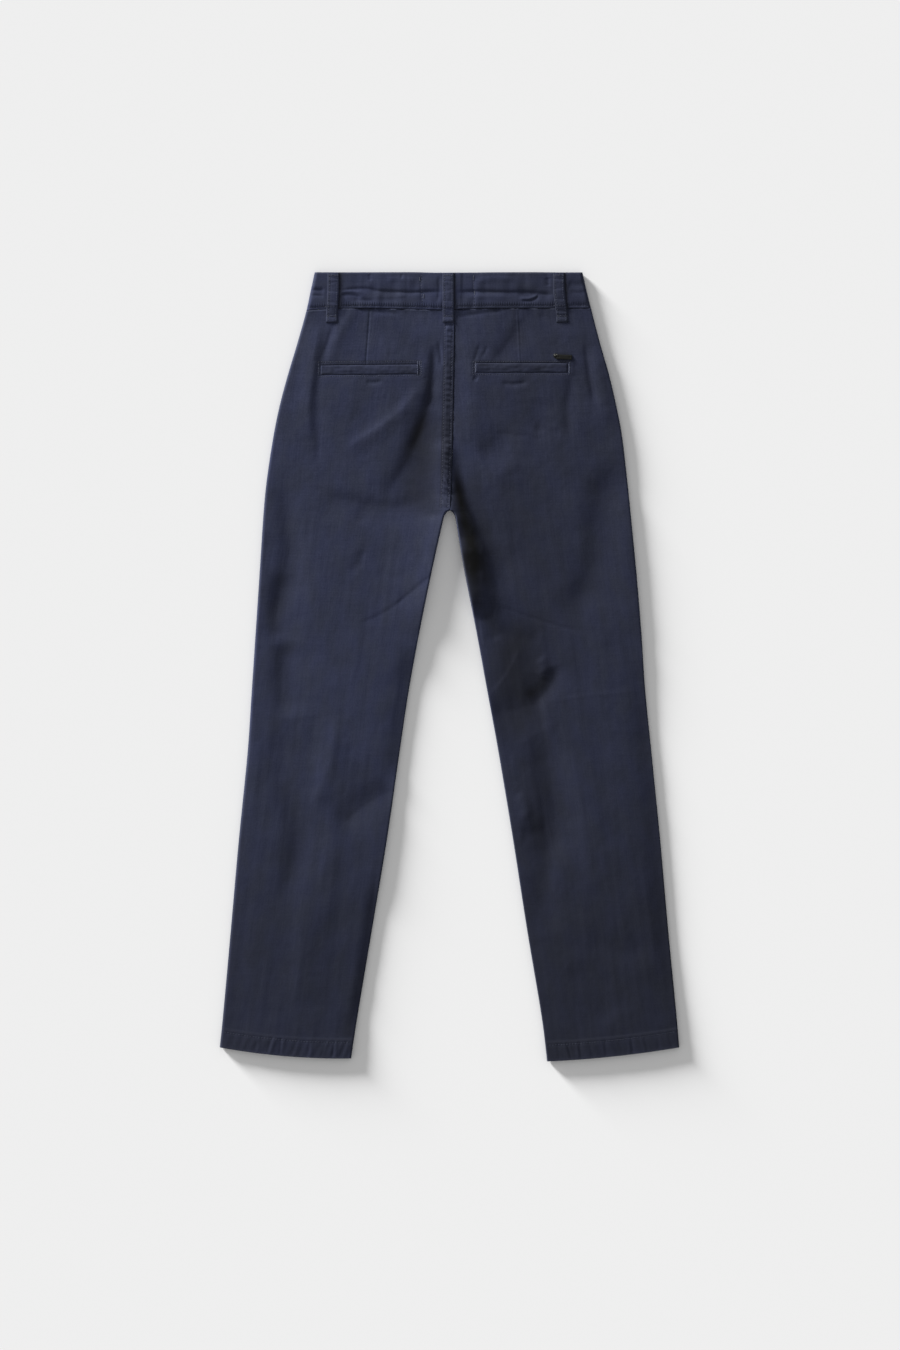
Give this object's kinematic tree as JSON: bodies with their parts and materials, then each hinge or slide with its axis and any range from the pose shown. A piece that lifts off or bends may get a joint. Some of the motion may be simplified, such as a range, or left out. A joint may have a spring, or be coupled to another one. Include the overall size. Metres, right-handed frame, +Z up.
{
  "type": "chino trousers",
  "caption": "Child's straight-leg chino trousers in navy cotton twill, laid flat with the back up, with belt loops, welt pockets, a back seam and turned hems.",
  "frame": {"origin": "middle of the flat underside, under the centre of the garment's bounding box", "axes": "+Y from the hems to the waist, +Z up out of the back side, +X towards the wearer's right"},
  "size_m": [0.505, 0.8668, 0.0094],
  "materials": {
    "twill": "matt navy stretch-cotton twill, piece dyed, stitched in matching thread",
    "tag_metal": "satin gunmetal, bare",
    "button": "dark horn-look plastic, satin"
  },
  "bodies": {
    "root": {"back_left": "twill", "back_right": "twill", "front_left": "twill", "front_right": "twill", "pocket_facing_left": "twill", "pocket_facing_right": "twill", "fly": "twill", "waistband_back": "twill", "waistband_front_left": "twill", "waistband_front_right": "twill", "loop_back_left": "twill", "loop_back_centre": "twill", "loop_back_right": "twill", "loop_front_left": "twill", "loop_front_right": "twill", "welt_left": "twill", "welt_right": "twill", "tag_bar": "tag_metal", "tag_stud": "tag_metal", "button": "button"}
  },
  "joints": []
}
